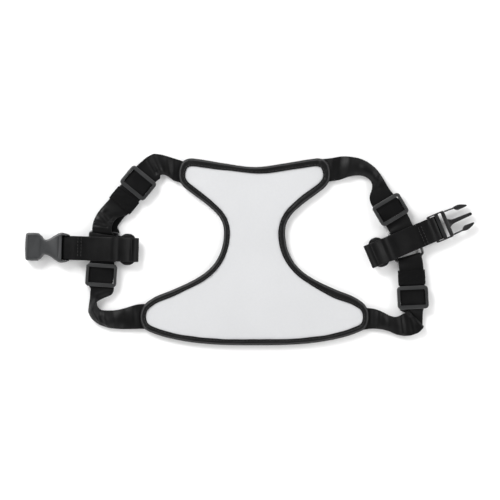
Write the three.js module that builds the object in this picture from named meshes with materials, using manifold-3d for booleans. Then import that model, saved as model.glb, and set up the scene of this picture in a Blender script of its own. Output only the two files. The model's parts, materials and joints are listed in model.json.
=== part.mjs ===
// Pet chest harness vest, laid flat: a padded hourglass panel with a bound edge, and on each side a neck
// strap, a girth strap and a belt strap joined by a ring. One side-release buckle closes the belt.
// Millimetres, +Z up. The origin is under the middle of the whole harness, on the surface it lies on.
import * as THREE from "three";
import { mergeVertices } from "three/addons/utils/BufferGeometryUtils.js";
import Module from "manifold-3d";

const wasm = await Module();
wasm.setup();

// ---- driving dimensions ----------------------------------------------------------------------------
const WEB_WIDTH = 25;
const WEB_THICK = 1.2;
const GAP = 0.3;
const SLOT_HALF = WEB_WIDTH / 2 + 0.5;

const HIGH_Z = 5.3; // middle of the upper run of a doubled strap, which goes through the slider
const TAIL_END = -1.5; // a doubled strap's end is this far past the middle of its slider
const SEAM_Z = 3.15; // middle of a strap where it is sewn into the panel's edge
const SEAM_GAP = 0.2; // from a side's fold line to the strap that turns about it

const PANEL_AXIS_X = 4.5; // the panel's own middle lies a little to the right of the origin
const BINDING_HEIGHT = 6.3;
const BINDING_LIP = 6.5;
const BINDING_TAPE = 0.9;
const BINDING_ROUND = 1.2;
const LAYER_EDGE = BINDING_TAPE + GAP; // how far inside the outline the panel's layers end
const LAYER_STEP = BINDING_LIP + 0.4; // where a layer may stand level with the binding again
const FABRIC_THICK = 0.7;
const FACE_Z = BINDING_HEIGHT - 0.4;

const RING_SPAN = 29; // between the centre lines of opposite bars
const RING_WIRE = 3;
const RING_CORNER = 3;
const RING_Z = 3.6;
const RING_LOOP = RING_WIRE / 2 + GAP + WEB_THICK / 2; // from a ring bar's middle to the webbing's middle
const LOW_Z = 2 * RING_Z - HIGH_Z; // middle of the lower run of a doubled strap
const SQUEEZED_WIDTH = RING_SPAN - 2 * RING_LOOP - WEB_THICK - 2 * GAP; // the belt, between the other loops

const SLIDER_LENGTH = 24; // along the strap
const SLIDER_WIDTH = 32;
const SLIDER_CORNER = 4;
const SLIDER_BAR = 4;
const SLIDER_RAIL_BOTTOM = 2.8;
const SLIDER_BAR_BOTTOM = 6.2;
const SLIDER_TOP = 8;
const SLIDER_CENTRE_BAR = 1.6;

const KEEPER_LENGTH = 15;
const KEEPER_WALL = 1;
const BELT_KEEPER_LENGTH = 12;
const BELT_KEEPER_WIDTH = 28; // it is loose, and its ends show past both edges of the belt
const BELT_KEEPER_LOW_Z = 2.6;

const FOLD_Z = 7.4; // axis of the belt's fold
const FOLD_RADIUS = 1.4;
const FOLD_CLEAR = 2; // from the belt's hidden run to the fold as it turns
const BELT_Z = FOLD_Z + FOLD_RADIUS;
const BUCKLE_HEIGHT = 11.5;
const BUCKLE_Z = BUCKLE_HEIGHT / 2;
const BAR_RADIUS = 1.6;
const BAR_LOOP = BAR_RADIUS + GAP + WEB_THICK / 2;
const BELT_LENGTH = 71; // from the fold to the buckle's bar
const BELT_HEM = 15; // how far back the belt's end is sewn under it
const ARM_ROOT = 2.6; // where the buckle's flexing arms start, from the head bar's middle

// the places that the sides are laid out from, each with its heading in degrees
const LEFT_RING = { x: -151.4, y: 3.2, turn: -4 };
const RIGHT_RING = { x: 160.5, y: 5, turn: 16 };
const LEFT_FOLD = { x: -116.8, y: -0.6, turn: 178.2 };
const RIGHT_FOLD = { x: 123.2, y: -7.4, turn: 23 };
const LEFT_NECK = { x: -115.3, y: 68.4, turn: 230.6 }; // middle of the left neck slider
const RIGHT_NECK = { x: 144.5, y: 41.1, turn: -59.2 }; // middle of the right neck slider
const LEFT_SEAM = { x: -76.2, y: 84.2, toX: -116, toY: -69.2 };
const RIGHT_SEAM = { x: 85.2, y: 82.2, toX: 125.1, toY: -70.8 };

// ---- materials -------------------------------------------------------------------------------------
function surface(color, roughness, metalness = 0) {
  return new THREE.MeshStandardMaterial({ color, roughness, metalness });
}

const webbing = surface(0x1a1a1c, 0.85);
const elastic = surface(0x121213, 0.9);
const tape = surface(0x161617, 0.9);
const faceFabric = surface(0xe6e7ea, 0.75);
const foam = surface(0xd8d8d4, 0.95);
const meshLining = surface(0x202022, 0.95);
const plastic = surface(0x2b2c2e, 0.45);
const coatedMetal = surface(0x0c0c0d, 0.15, 0.4);

// ---- making solids ---------------------------------------------------------------------------------
// Triangles over a ring, each going the same way round as the ring does.
function triangulateCap(ring) {
  const level = ring.every((p) => Math.abs(p.z - ring[0].z) < 1e-6);
  if (!level) return ring.slice(2).map((_, i) => [0, i + 1, i + 2]);
  const points = ring.map((p) => new THREE.Vector2(p.x, p.y));
  const triangles = THREE.ShapeUtils.triangulateShape(points, []);
  return THREE.ShapeUtils.isClockWise(points) ? triangles.map(([a, b, c]) => [c, b, a]) : triangles;
}

// A closed solid through equal rings of points. The last ring joins the first if it goes round.
function loft(rings, goesRound = false) {
  const size = rings[0].length;
  const positions = rings.flat().flatMap((p) => [p.x, p.y, p.z]);
  const index = [];
  const spans = goesRound ? rings.length : rings.length - 1;
  for (let i = 0; i < spans; i++) {
    const here = i * size;
    const there = ((i + 1) % rings.length) * size;
    for (let j = 0; j < size; j++) {
      const next = (j + 1) % size;
      index.push(here + j, here + next, there + next, here + j, there + next, there + j);
    }
  }
  if (!goesRound) {
    const last = (rings.length - 1) * size;
    for (const [a, b, c] of triangulateCap(rings[0])) index.push(c, b, a);
    for (const [a, b, c] of triangulateCap(rings[rings.length - 1])) index.push(last + a, last + b, last + c);
  }
  const geometry = new THREE.BufferGeometry();
  geometry.setAttribute("position", new THREE.Float32BufferAttribute(positions, 3));
  geometry.setIndex(index);
  return facingOut(geometry);
}

function signedVolume(geometry) {
  const p = geometry.getAttribute("position");
  const corner = (k) => new THREE.Vector3().fromBufferAttribute(p, geometry.index.getX(k));
  let volume = 0;
  for (let k = 0; k < geometry.index.count; k += 3) {
    volume += corner(k).dot(corner(k + 1).cross(corner(k + 2))) / 6;
  }
  return volume;
}

function facingOut(geometry) {
  if (signedVolume(geometry) < 0) geometry.index.array.reverse();
  return geometry;
}

function solid(geometry) {
  const bare = geometry.clone();
  bare.deleteAttribute("normal");
  bare.deleteAttribute("uv");
  const merged = mergeVertices(bare, 1e-4);
  return new wasm.Manifold(
    new wasm.Mesh({
      numProp: 3,
      vertProperties: merged.getAttribute("position").array,
      triVerts: merged.index.array,
    }),
  );
}

function geometryOf(manifold) {
  const mesh = manifold.getMesh();
  const geometry = new THREE.BufferGeometry();
  geometry.setAttribute("position", new THREE.BufferAttribute(mesh.vertProperties, 3));
  geometry.setIndex(new THREE.BufferAttribute(mesh.triVerts, 1));
  return geometry;
}

function block(x0, x1, y0, y1, z0, z1) {
  const box = new THREE.BoxGeometry(x1 - x0, y1 - y0, z1 - z0);
  return solid(box.translate((x0 + x1) / 2, (y0 + y1) / 2, (z0 + z1) / 2));
}

function slab(shape, z0, z1, bevel = 0) {
  const options = { depth: z1 - z0 - 2 * bevel, curveSegments: 6, bevelEnabled: bevel > 0 };
  if (bevel > 0) {
    options.bevelThickness = bevel;
    options.bevelSize = bevel;
    options.bevelOffset = -bevel;
    options.bevelSegments = 2;
  }
  return solid(new THREE.ExtrudeGeometry(shape, options).translate(0, 0, z0 + bevel));
}

function roundedRectangle(halfX, halfY, radius) {
  const shape = new THREE.Shape();
  shape.absarc(halfX - radius, halfY - radius, radius, 0, Math.PI / 2);
  shape.absarc(radius - halfX, halfY - radius, radius, Math.PI / 2, Math.PI);
  shape.absarc(radius - halfX, radius - halfY, radius, Math.PI, 1.5 * Math.PI);
  shape.absarc(halfX - radius, radius - halfY, radius, 1.5 * Math.PI, 2 * Math.PI);
  shape.closePath();
  return shape;
}

// ---- the panel -------------------------------------------------------------------------------------
// The right half of the outline, from the middle of the top edge round to the middle of the bottom edge.
const HALF_OUTLINE = [
  [0, 85],
  [31, 88.8],
  [58, 93.2],
  [68, 93.7],
  [75, 89.8],
  [78, 81],
  [77.6, 72],
  [73.5, 65],
  [65.5, 58.3],
  [49.7, 46.5],
  [38, 35.5],
  [32.6, 25.5],
  [31.7, 14.8],
  [34.2, 0],
  [40.2, -12.7],
  [49.7, -22.9],
  [63, -31.6],
  [83, -41],
  [104, -49.7],
  [114.7, -58.3],
  [118, -68.6],
  [114.8, -80.5],
  [102.5, -87.2],
  [79, -93.5],
  [47, -97.7],
  [0, -98.9],
];
const OUTLINE_STEPS = 128;
const STRAP_TURN_STEP = 0.22; // radians between stations round a corner
const HAIRPIN_STEPS = 6;
const UP = new THREE.Vector3(0, 0, 1);

function panelOutline() {
  const right = HALF_OUTLINE.map(([x, y]) => new THREE.Vector3(PANEL_AXIS_X + x, y, 0));
  const left = HALF_OUTLINE.slice(1, -1).map(([x, y]) => new THREE.Vector3(PANEL_AXIS_X - x, y, 0));
  const curve = new THREE.CatmullRomCurve3([...right, ...left.reverse()], true, "centripetal");
  return curve.getSpacedPoints(OUTLINE_STEPS).slice(0, OUTLINE_STEPS);
}

const outline = panelOutline();

// The outline moved inwards, at a height. It runs clockwise, so inwards is to the right of the way round.
function outlineRing(inset, z) {
  return outline.map((p, i) => {
    const before = outline[(i + OUTLINE_STEPS - 1) % OUTLINE_STEPS];
    const after = outline[(i + 1) % OUTLINE_STEPS];
    const way = after.clone().sub(before).normalize();
    return new THREE.Vector3(p.x + way.y * inset, p.y - way.x * inset, z);
  });
}

function panelLayer(steps) {
  return loft(steps.map(([inset, z]) => outlineRing(inset, z)));
}

// A tape folded round the whole edge, so its section is a C that is open towards the padding.
function bindingTape() {
  const top = BINDING_HEIGHT;
  const section = [
    [BINDING_LIP, 0],
    [BINDING_ROUND, 0],
    [0, BINDING_ROUND],
    [0, top - BINDING_ROUND],
    [BINDING_ROUND, top],
    [BINDING_LIP, top],
    [BINDING_LIP, top - BINDING_TAPE],
    [BINDING_TAPE, top - BINDING_TAPE],
    [BINDING_TAPE, BINDING_TAPE],
    [BINDING_LIP, BINDING_TAPE],
  ];
  return loft(section.map(([inset, z]) => outlineRing(inset, z)), true);
}

// ---- straps ----------------------------------------------------------------------------------------
function headingOf(degrees) {
  const a = THREE.MathUtils.degToRad(degrees);
  return new THREE.Vector3(Math.cos(a), Math.sin(a), 0);
}

function leftOf(heading) {
  return new THREE.Vector3(-heading.y, heading.x, 0);
}

// Stations along straight runs between corners, each corner rounded in plan by its own radius.
function route(corners) {
  const points = corners.map(([x, y, z]) => new THREE.Vector3(x, y, z));
  return corners.flatMap(([, , , radius], i) => {
    const into = i > 0 ? flatWay(points[i - 1], points[i]) : flatWay(points[0], points[1]);
    if (!radius) return [{ p: points[i], side: leftOf(into), corner: i }];
    return roundedCorner(points[i], into, flatWay(points[i], points[i + 1]), radius, i);
  });
}

function flatWay(from, to) {
  return new THREE.Vector3(to.x - from.x, to.y - from.y, 0).normalize();
}

function roundedCorner(point, into, out, radius, corner) {
  const turn = Math.atan2(into.x * out.y - into.y * out.x, into.dot(out));
  const reach = radius * Math.tan(Math.abs(turn) / 2);
  const toCentre = radius * Math.sign(turn);
  const start = point.clone().addScaledVector(into, -reach);
  const centre = start.addScaledVector(leftOf(into), toCentre);
  const steps = Math.max(2, Math.ceil(Math.abs(turn) / STRAP_TURN_STEP));
  return Array.from({ length: steps + 1 }, (_, k) => {
    const way = into.clone().applyAxisAngle(UP, (turn * k) / steps);
    const p = centre.clone().addScaledVector(leftOf(way), -toCentre);
    return { p, side: leftOf(way), corner };
  });
}

// Half a turn round a level bar, from its top past the far side to its bottom, or the other way up.
function hairpin(bar, heading, radius, fromTop = true) {
  return Array.from({ length: HAIRPIN_STEPS + 1 }, (_, k) => {
    const a = (Math.PI / 2 - (Math.PI * k) / HAIRPIN_STEPS) * (fromTop ? 1 : -1);
    const p = bar.clone().addScaledVector(heading, radius * Math.cos(a));
    p.z += radius * Math.sin(a);
    return { p, side: leftOf(heading) };
  });
}

function ribbon(stations, width = WEB_WIDTH) {
  const rings = stations.map(({ p, side }, i) => {
    const before = stations[Math.max(i - 1, 0)].p;
    const after = stations[Math.min(i + 1, stations.length - 1)].p;
    const way = after.clone().sub(before).normalize();
    const across = side.clone().multiplyScalar(width / 2);
    const up = new THREE.Vector3().crossVectors(way, side).normalize().multiplyScalar(WEB_THICK / 2);
    return [
      p.clone().add(across).add(up),
      p.clone().sub(across).add(up),
      p.clone().sub(across).sub(up),
      p.clone().add(across).sub(up),
    ];
  });
  return loft(rings);
}

// A strap from the panel's edge over a ring bar and back under itself, as far as the corner numbered tail.
function loopedStrap(corners, seam, bar, inward, tail) {
  const out = route([...corners, [bar.x, bar.y, bar.z]]).slice(0, -1);
  const edge = new THREE.Vector3(seam.x - seam.toX, seam.y - seam.toY, 0).normalize();
  out[0].side = edge.divideScalar(edge.dot(out[0].side));
  const under = out
    .filter(({ corner }) => corner >= tail)
    .map(({ p, side }) => ({ p: new THREE.Vector3(p.x, p.y, 2 * RING_Z - p.z), side }));
  return ribbon([...out, ...hairpin(bar, inward, RING_LOOP), ...under.reverse()]);
}

function along(start, heading, distance, z, radius) {
  return [start.x + heading.x * distance, start.y + heading.y * distance, z, radius];
}

// The belt's hidden run, round the ring's inboard bar and on towards the fold. X is inboard from that bar.
function beltInner(reach) {
  const side = new THREE.Vector3(0, 1, 0);
  const top = RING_Z + RING_LOOP;
  const under = top - WEB_THICK - GAP;
  const run = (x, z) => ({ p: new THREE.Vector3(x, 0, z), side });
  const loop = hairpin(new THREE.Vector3(0, 0, RING_Z), new THREE.Vector3(-1, 0, 0), RING_LOOP);
  const stations = [run(reach, top), ...loop.map(({ p }) => ({ p, side })), run(7, under - GAP), run(reach - 1, under)];
  return ribbon(stations, SQUEEZED_WIDTH);
}

// The belt's visible run. It turns up out of the fold, crosses over the ring and loops round the buckle's bar,
// and its end is sewn back under it. X is along it from the fold.
function beltOuter() {
  const side = new THREE.Vector3(0, 1, 0);
  const way = new THREE.Vector3(1, 0, 0);
  const run = (x, z) => ({ p: new THREE.Vector3(x, 0, z), side });
  const fold = hairpin(new THREE.Vector3(0, 0, FOLD_Z), new THREE.Vector3(-1, 0, 0), FOLD_RADIUS, false);
  const loop = hairpin(new THREE.Vector3(BELT_LENGTH, 0, BUCKLE_Z), way, BAR_LOOP);
  const under = BELT_Z - WEB_THICK - GAP;
  return ribbon([
    ...fold.map(({ p }) => ({ p, side })),
    run(BELT_LENGTH - 12, BELT_Z),
    ...loop,
    run(BELT_LENGTH - 8, under - 1.5),
    run(BELT_LENGTH - BELT_HEM, under),
  ]);
}

// ---- hardware --------------------------------------------------------------------------------------
function squareRing() {
  const half = RING_SPAN / 2;
  const sides = 10;
  const path = roundedRectangle(half, half, RING_CORNER).getPoints(5).slice(0, -1);
  const middle = path.filter((p, i) => i === 0 || p.distanceTo(path[i - 1]) > 1e-3);
  const rings = middle.map((p, i) => {
    const before = middle[(i + middle.length - 1) % middle.length];
    const after = middle[(i + 1) % middle.length];
    const way = after.clone().sub(before).normalize();
    const ring = [];
    for (let k = 0; k < sides; k++) {
      const a = (2 * Math.PI * k) / sides;
      const reach = (RING_WIRE / 2) * Math.cos(a);
      const z = RING_Z + (RING_WIRE / 2) * Math.sin(a);
      ring.push(new THREE.Vector3(p.x + way.y * reach, p.y - way.x * reach, z));
    }
    return ring;
  });
  return loft(rings, true);
}

// Three bars between two rails: the strap goes under the outer bars and over the centre one. X is along it.
function slider() {
  const halfX = SLIDER_LENGTH / 2;
  const halfY = SLIDER_WIDTH / 2;
  const inner = SLOT_HALF;
  const frame = roundedRectangle(halfX, halfY, SLIDER_CORNER);
  const whole = slab(frame, SLIDER_RAIL_BOTTOM, SLIDER_TOP, 0.6);
  const window = block(SLIDER_BAR - halfX, halfX - SLIDER_BAR, -inner, inner, 0, SLIDER_TOP + 1);
  const underBars = block(-halfX - 1, halfX + 1, -inner, inner, 0, SLIDER_BAR_BOTTOM);
  const barTop = SLIDER_RAIL_BOTTOM + SLIDER_CENTRE_BAR;
  const centreBar = block(-SLIDER_BAR / 2, SLIDER_BAR / 2, -inner - 1, inner + 1, SLIDER_RAIL_BOTTOM, barTop);
  return geometryOf(whole.subtract(window).subtract(underBars).add(centreBar));
}

// A flat elastic loop round a strap, with the strap's runs between lowZ and highZ. X is along the strap.
function keeper(lowZ, highZ, width = WEB_WIDTH, length = KEEPER_LENGTH) {
  const halfX = length / 2;
  const halfY = width / 2 + GAP + KEEPER_WALL;
  const bottom = lowZ - WEB_THICK / 2 - GAP - KEEPER_WALL;
  const top = highZ + WEB_THICK / 2 + GAP + KEEPER_WALL;
  const outside = block(-halfX, halfX, -halfY, halfY, bottom, top);
  const insideY = halfY - KEEPER_WALL;
  const inside = block(-halfX - 1, halfX + 1, -insideY, insideY, bottom + KEEPER_WALL, top - KEEPER_WALL);
  return geometryOf(outside.subtract(inside));
}

function strapBar(x) {
  return solid(new THREE.CylinderGeometry(BAR_RADIUS, BAR_RADIUS, 2 * SLOT_HALF + 1, 12).translate(x, 0, BUCKLE_Z));
}

// The female half. X runs from the middle of its strap bar to its mouth.
const MOUTH_X = 43.7;
const FEMALE_SLOT = 6.3;

function femaleShell() {
  const upper = new THREE.SplineCurve(
    [
      [-2.4, 12.6],
      [1.9, 14.7],
      [7.8, 15.3],
      [12.4, 13],
      [17, 9.9],
      [20.6, 8.1],
      [24.4, 7.9],
      [27.4, 11.2],
      [30.6, 14.2],
    ].map(([x, y]) => new THREE.Vector2(x, y)),
  ).getPoints(20);
  const half = [...upper, new THREE.Vector2(41.8, 14.6), new THREE.Vector2(43.2, 13), new THREE.Vector2(MOUTH_X, 6)];
  const outside = new THREE.Shape([...half, ...half.map((p) => new THREE.Vector2(p.x, -p.y)).reverse()]);
  return geometryOf(
    slab(outside, 0, BUCKLE_HEIGHT, 1.3)
      .subtract(block(26, MOUTH_X + 1, -12.4, 12.4, 2.5, 9)) // the mouth, which opens at the sides too
      .subtract(block(12, 27, -4, 4, 2.5, 9)) // the guide for the centre prong
      .subtract(block(-4, FEMALE_SLOT, -SLOT_HALF, SLOT_HALF, -1, BUCKLE_HEIGHT + 1)) // room for the strap
      .add(strapBar(0)),
  );
}

// The male half. X runs from the middle of its head bar to its tips, and its strap bar is behind.
const MALE_BAR_X = -15.2;
const MALE_HEAD_X = 2.2;
const MALE_HALF_WIDTH = 14.4;
const MALE_BOTTOM = BUCKLE_Z - 2.5;
const MALE_TOP = BUCKLE_Z + 2.5;
const PRONG_TIP = 27.9;

function maleFrame() {
  const halfX = (MALE_HEAD_X - MALE_BAR_X + 2.2) / 2;
  const middleX = MALE_HEAD_X - halfX;
  const ladder = slab(roundedRectangle(halfX, MALE_HALF_WIDTH, 2), MALE_BOTTOM, MALE_TOP, 0.6);
  const prong = new THREE.Shape();
  prong.moveTo(0, -7);
  prong.quadraticCurveTo(3.5, -2.4, 8, -2.2);
  prong.lineTo(PRONG_TIP - 1.4, -1.6);
  prong.quadraticCurveTo(PRONG_TIP, -1, PRONG_TIP, 0);
  prong.quadraticCurveTo(PRONG_TIP, 1, PRONG_TIP - 1.4, 1.6);
  prong.lineTo(8, 2.2);
  prong.quadraticCurveTo(3.5, 2.4, 0, 7);
  prong.closePath();
  return geometryOf(
    ladder
      .translate(middleX, 0, 0)
      .add(slab(prong, MALE_BOTTOM + 0.4, MALE_TOP - 0.4, 0.5))
      .subtract(block(-5, -1.6, -SLOT_HALF, SLOT_HALF, 0, BUCKLE_HEIGHT)) // the open slot
      .subtract(block(MALE_BAR_X - 3, -8.8, -SLOT_HALF, SLOT_HALF, 0, BUCKLE_HEIGHT)) // room for the strap
      .add(strapBar(MALE_BAR_X)),
  );
}

// A thin springy strip with a barb at its end. hand is 1 for the arm on the +Y side, -1 for the other.
function maleArm(hand) {
  const arm = new THREE.Shape();
  arm.moveTo(ARM_ROOT, 13.6 * hand);
  arm.lineTo(11.6, 13.1 * hand);
  arm.quadraticCurveTo(17, 14.6 * hand, 20, 13.3 * hand);
  arm.quadraticCurveTo(25, 11.6 * hand, 26.4, 10 * hand);
  arm.lineTo(26, 9 * hand);
  arm.lineTo(16.5, 8.6 * hand);
  arm.quadraticCurveTo(14.2, 8.9 * hand, 12.6, 11.6 * hand);
  arm.lineTo(ARM_ROOT, 12.1 * hand);
  arm.closePath();
  return geometryOf(slab(arm, MALE_BOTTOM + 0.4, MALE_TOP - 0.4, 0.4));
}

// ---- the object ------------------------------------------------------------------------------------
const vest = new THREE.Group();

function add(name, geometry, material, place = {}) {
  const mesh = new THREE.Mesh(geometry, material);
  mesh.name = name;
  mesh.position.set(place.x ?? 0, place.y ?? 0, 0);
  mesh.rotation.z = THREE.MathUtils.degToRad(place.turn ?? 0);
  vest.add(mesh);
}

function placeAlong(start, heading, distance) {
  const turn = THREE.MathUtils.radToDeg(Math.atan2(heading.y, heading.x));
  return { x: start.x + heading.x * distance, y: start.y + heading.y * distance, turn };
}

// The two bars of a ring that the neck and girth straps loop round, and the ways out of it there.
function ringBars(ring) {
  const up = headingOf(ring.turn + 90);
  const middle = new THREE.Vector3(ring.x, ring.y, RING_Z);
  const down = up.clone().negate();
  const neck = middle.clone().addScaledVector(up, RING_SPAN / 2);
  const girth = middle.clone().addScaledVector(down, RING_SPAN / 2);
  return { neck, girth, up, down };
}

function addPanel() {
  const faceTop = BINDING_HEIGHT - BINDING_TAPE - GAP;
  const faceBottom = faceTop - FABRIC_THICK;
  const liningBottom = BINDING_TAPE + GAP;
  const liningTop = liningBottom + FABRIC_THICK;
  const lining = [
    [LAYER_STEP, 0],
    [LAYER_STEP, liningBottom],
    [LAYER_EDGE, liningBottom],
    [LAYER_EDGE, liningTop],
  ];
  const padding = [
    [LAYER_EDGE, liningTop + GAP],
    [LAYER_EDGE, faceBottom - GAP],
  ];
  const face = [
    [LAYER_EDGE, faceBottom],
    [LAYER_EDGE, faceTop],
    [LAYER_STEP, faceTop],
    [LAYER_STEP, FACE_Z],
  ];
  add("panel_lining", panelLayer(lining), meshLining);
  add("panel_foam", panelLayer(padding), foam);
  add("panel_face", panelLayer(face), faceFabric);
  add("panel_binding", bindingTape(), tape);
}

function addLeftNeck() {
  const { neck, down } = ringBars(LEFT_RING);
  const way = headingOf(LEFT_NECK.turn);
  const corners = [
    [LEFT_SEAM.x - SEAM_GAP, LEFT_SEAM.y, SEAM_Z],
    along(LEFT_NECK, way, -24.7, SEAM_Z, 15),
    along(LEFT_NECK, way, -SLIDER_LENGTH / 2, HIGH_Z),
    along(LEFT_NECK, way, TAIL_END, HIGH_Z),
    along(LEFT_NECK, way, 54.3, HIGH_Z, 14),
  ];
  add("left_neck_strap", loopedStrap(corners, LEFT_SEAM, neck, down, 3), webbing);
  add("left_neck_slider", slider(), plastic, placeAlong(LEFT_NECK, way, 0));
  add("left_neck_keeper", keeper(LOW_Z, HIGH_Z), elastic, placeAlong(LEFT_NECK, way, 22.9));
}

function addLeftGirth() {
  const { girth, up, down } = ringBars(LEFT_RING);
  const sliderAt = 15.3;
  const corners = [
    [LEFT_SEAM.toX - SEAM_GAP, LEFT_SEAM.toY, SEAM_Z],
    along(girth, down, 60.4, SEAM_Z, 14),
    along(girth, down, 42.5, HIGH_Z),
    along(girth, down, sliderAt - TAIL_END, HIGH_Z),
    along(girth, down, 3.3, HIGH_Z),
  ];
  add("left_girth_strap", loopedStrap(corners, LEFT_SEAM, girth, up, 3), webbing);
  add("left_girth_slider", slider(), plastic, placeAlong(girth, down, sliderAt));
}

function addRightNeck() {
  const { neck, down } = ringBars(RIGHT_RING);
  const way = headingOf(RIGHT_NECK.turn);
  const corners = [
    [RIGHT_SEAM.x + SEAM_GAP, RIGHT_SEAM.y, SEAM_Z],
    along(RIGHT_NECK, way, -48.5, SEAM_Z, 14),
    along(RIGHT_NECK, way, -33, HIGH_Z),
    along(RIGHT_NECK, way, TAIL_END, HIGH_Z),
    along(RIGHT_NECK, way, 21.3, HIGH_Z, 14),
  ];
  add("right_neck_strap", loopedStrap(corners, RIGHT_SEAM, neck, down, 3), webbing);
  add("right_neck_slider", slider(), plastic, placeAlong(RIGHT_NECK, way, 0));
}

function addRightGirth() {
  const { girth, up, down } = ringBars(RIGHT_RING);
  const [bendX, bendY] = along(girth, down, 4.5);
  const bend = new THREE.Vector3(bendX, bendY, 0);
  const corner = new THREE.Vector3(168.9, -77.6, 0);
  const way = flatWay(bend, corner);
  const sliderAt = 36.2;
  const corners = [
    [RIGHT_SEAM.toX + SEAM_GAP, RIGHT_SEAM.toY, SEAM_Z],
    [corner.x, corner.y, SEAM_Z, 12.8],
    along(bend, way, sliderAt + 3.5, HIGH_Z),
    along(bend, way, sliderAt - TAIL_END, HIGH_Z),
    [bend.x, bend.y, HIGH_Z, 14],
  ];
  add("right_girth_strap", loopedStrap(corners, RIGHT_SEAM, girth, up, 3), webbing);
  add("right_girth_slider", slider(), plastic, placeAlong(bend, way, sliderAt));
  add("right_girth_keeper", keeper(LOW_Z, HIGH_Z), elastic, placeAlong(bend, way, 15.8));
}

// A ring, the belt folded over it, and the keeper that is under the fold.
function addRingAndBelt(side, ring, fold, inboardTurn, keeperAt) {
  const inboard = headingOf(inboardTurn);
  const bar = placeAlong(ring, inboard, RING_SPAN / 2);
  const reach = Math.hypot(fold.x - bar.x, fold.y - bar.y) - FOLD_RADIUS - WEB_THICK / 2 - FOLD_CLEAR;
  add(`${side}_ring`, squareRing(), coatedMetal, ring);
  add(`${side}_belt_inner`, beltInner(reach), webbing, bar);
  const loose = keeper(BELT_KEEPER_LOW_Z, RING_Z + RING_LOOP, BELT_KEEPER_WIDTH, BELT_KEEPER_LENGTH);
  add(`${side}_belt_keeper`, loose, elastic, placeAlong(bar, inboard, keeperAt));
  add(`${side}_belt_outer`, beltOuter(), webbing, fold);
}

function addBuckle() {
  add("buckle_female", femaleShell(), plastic, placeAlong(LEFT_FOLD, headingOf(LEFT_FOLD.turn), BELT_LENGTH));
  const male = placeAlong(RIGHT_FOLD, headingOf(RIGHT_FOLD.turn), BELT_LENGTH - MALE_BAR_X);
  add("buckle_male", maleFrame(), plastic, male);
  add("buckle_arm_front", maleArm(-1), plastic, male);
  add("buckle_arm_rear", maleArm(1), plastic, male);
}

addPanel();
addLeftNeck();
addLeftGirth();
addRightNeck();
addRightGirth();
addRingAndBelt("left", LEFT_RING, LEFT_FOLD, LEFT_RING.turn, 9.2);
addRingAndBelt("right", RIGHT_RING, RIGHT_FOLD, RIGHT_RING.turn + 180, 13);
addBuckle();

export default vest;
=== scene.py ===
"""The pet chest harness vest: cloth, webbing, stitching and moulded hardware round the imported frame."""

import json
import math

import bmesh
import bpy
import numpy as np
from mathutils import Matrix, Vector, noise

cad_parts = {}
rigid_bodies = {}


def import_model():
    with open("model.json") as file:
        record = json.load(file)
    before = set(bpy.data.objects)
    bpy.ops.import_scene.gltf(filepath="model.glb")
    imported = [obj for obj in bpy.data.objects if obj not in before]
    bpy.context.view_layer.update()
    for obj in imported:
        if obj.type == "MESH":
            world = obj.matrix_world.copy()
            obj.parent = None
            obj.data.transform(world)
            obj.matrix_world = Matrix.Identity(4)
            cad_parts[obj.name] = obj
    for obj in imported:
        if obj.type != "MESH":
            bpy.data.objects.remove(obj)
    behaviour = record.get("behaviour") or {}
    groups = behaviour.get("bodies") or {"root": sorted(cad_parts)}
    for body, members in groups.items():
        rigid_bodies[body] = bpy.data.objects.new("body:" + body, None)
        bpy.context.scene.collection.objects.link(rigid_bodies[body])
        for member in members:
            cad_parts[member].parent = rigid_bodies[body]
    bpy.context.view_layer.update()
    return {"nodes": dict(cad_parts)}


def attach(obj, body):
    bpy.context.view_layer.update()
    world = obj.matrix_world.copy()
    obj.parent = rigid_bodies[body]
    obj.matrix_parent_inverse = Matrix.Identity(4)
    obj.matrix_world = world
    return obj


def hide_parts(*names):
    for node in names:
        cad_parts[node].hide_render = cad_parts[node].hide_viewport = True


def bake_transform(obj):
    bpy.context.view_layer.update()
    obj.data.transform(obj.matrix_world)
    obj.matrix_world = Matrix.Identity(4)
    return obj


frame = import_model()
MM = 0.001
SCENE = bpy.context.scene

# ---- dimensions, in millimetres ----
WEB_WIDTH = 25.0
WEB_THICK = 1.4
SLOT_HALF = 12.9  # half the width where a slider holds a strap flat
BAR_HALF = 12.3  # and where a strap goes round a ring's bar
BELT_HALF = 12.4
BACK_RUN_HALF = 12.2
HIGH_Z = 5.3  # middle of a doubled strap's upper run
LOW_Z = 1.9  # and of its lower run
RING_Z = 3.6
RING_HALF = 14.5  # from the ring's middle to a bar's middle
RING_LOOP = 2.4  # from a ring bar's middle to the webbing's middle
FOLD_Z = 7.4
FOLD_RADIUS = 1.4
BELT_LENGTH = 71.0  # from the fold to the middle of the buckle's bar
BUCKLE_Z = 5.75
BAR_LOOP = 2.5
LOOP_REACH = 5.8
# Places are (x, y, turn in degrees).
LEFT_RING = (-151.4, 3.2, -4.0)
RIGHT_RING = (160.5, 5.0, 16.0)
LEFT_FOLD = (-116.8, -0.6, 178.2)
RIGHT_FOLD = (123.2, -7.4, 23.0)
PANEL_AXIS_X = 4.5


# ---- small helpers ----
def heading(degrees):
    a = math.radians(degrees)
    return np.array([math.cos(a), math.sin(a)])


def placed(points, place):
    """Points in a piece's own frame, moved to (x, y, turn)."""
    x, y, turn = place
    c, s = heading(turn)
    points = np.asarray(points, float)
    out = points.copy()
    out[..., 0] = x + points[..., 0] * c - points[..., 1] * s
    out[..., 1] = y + points[..., 0] * s + points[..., 1] * c
    return out


def distances(points):
    """How far along a line of points each one is."""
    return np.concatenate([[0], np.cumsum(np.linalg.norm(np.diff(points, axis=0), axis=1))])


def unit(vectors):
    return vectors / np.maximum(np.linalg.norm(vectors, axis=1), 1e-9)[:, None]


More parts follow.
